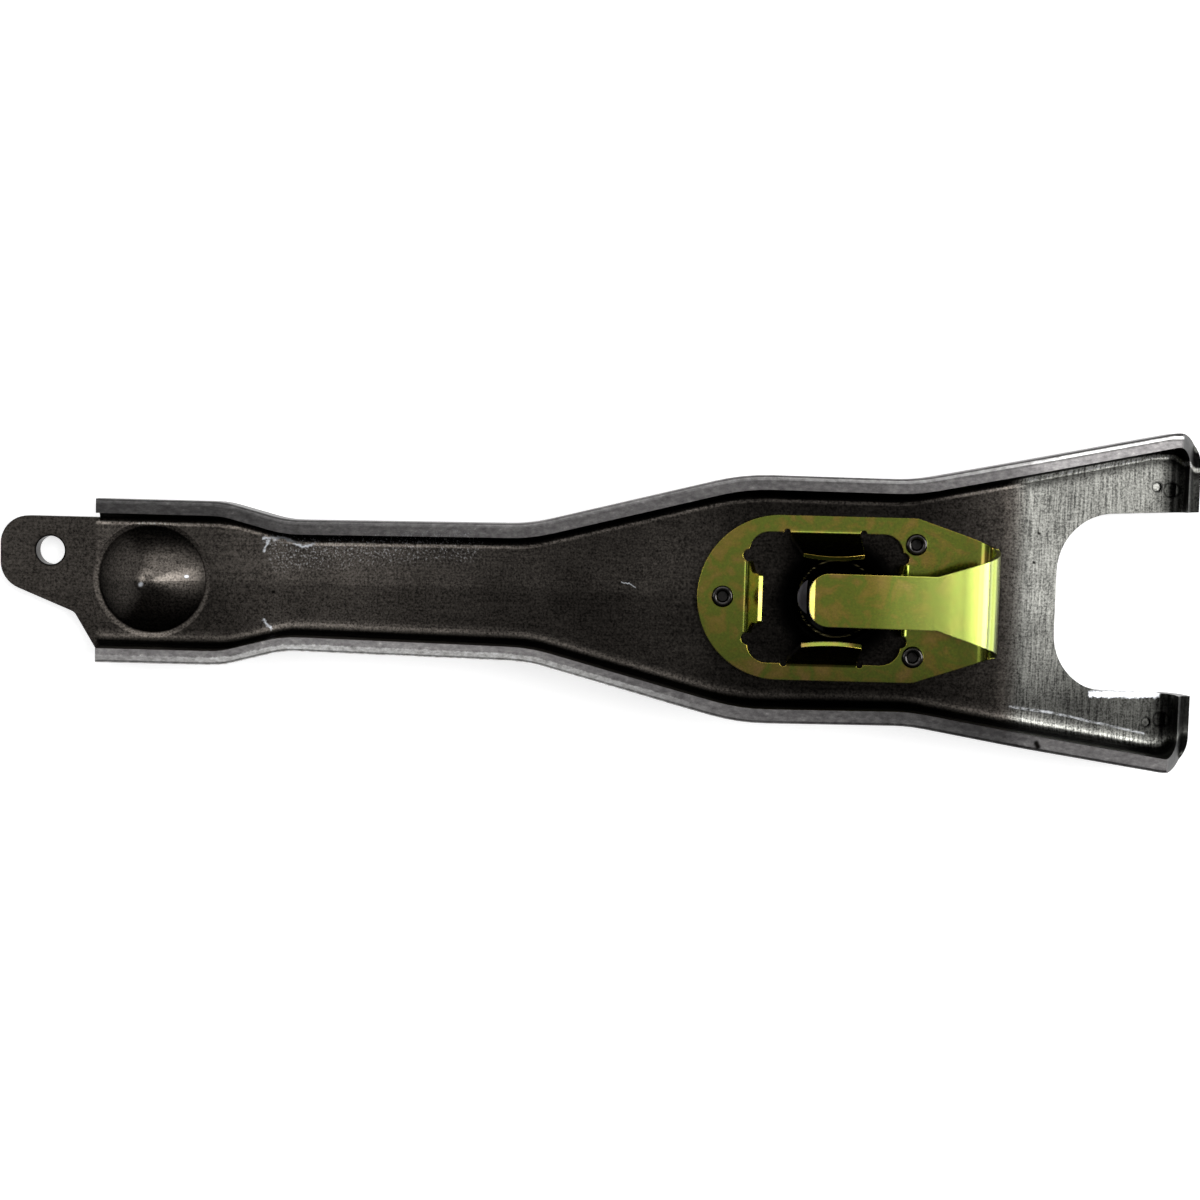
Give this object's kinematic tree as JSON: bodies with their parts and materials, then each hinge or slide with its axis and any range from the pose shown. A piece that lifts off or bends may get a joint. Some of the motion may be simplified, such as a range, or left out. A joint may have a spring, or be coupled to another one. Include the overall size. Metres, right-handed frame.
{
  "type": "clutch release fork",
  "caption": "Pressed channel-section clutch release lever with a push-rod cup, a drawn pivot socket under a riveted spring clip, and a forked end.",
  "frame": {"origin": "centre of the spherical pivot seat, which is the centre of the pivot head when it is seated", "axes": "+X along the lever from the push-rod cup to the tines, +Z out of the open side of the channel, +Y towards the return spring's tab edge"},
  "size_m": [0.3396, 0.0949, 0.025],
  "materials": {
    "pressed_steel": "bare rolled steel, dark and lightly oiled",
    "yellow_zinc_spring_steel": "yellow-chromated zinc plate on spring steel",
    "dark_rivet_steel": "dark phosphated steel"
  },
  "bodies": {
    "root": {"fork_lever": "pressed_steel", "pivot_retainer_clip": "yellow_zinc_spring_steel", "clip_rivet_1": "dark_rivet_steel", "clip_rivet_2": "dark_rivet_steel", "clip_rivet_3": "dark_rivet_steel"}
  },
  "joints": []
}
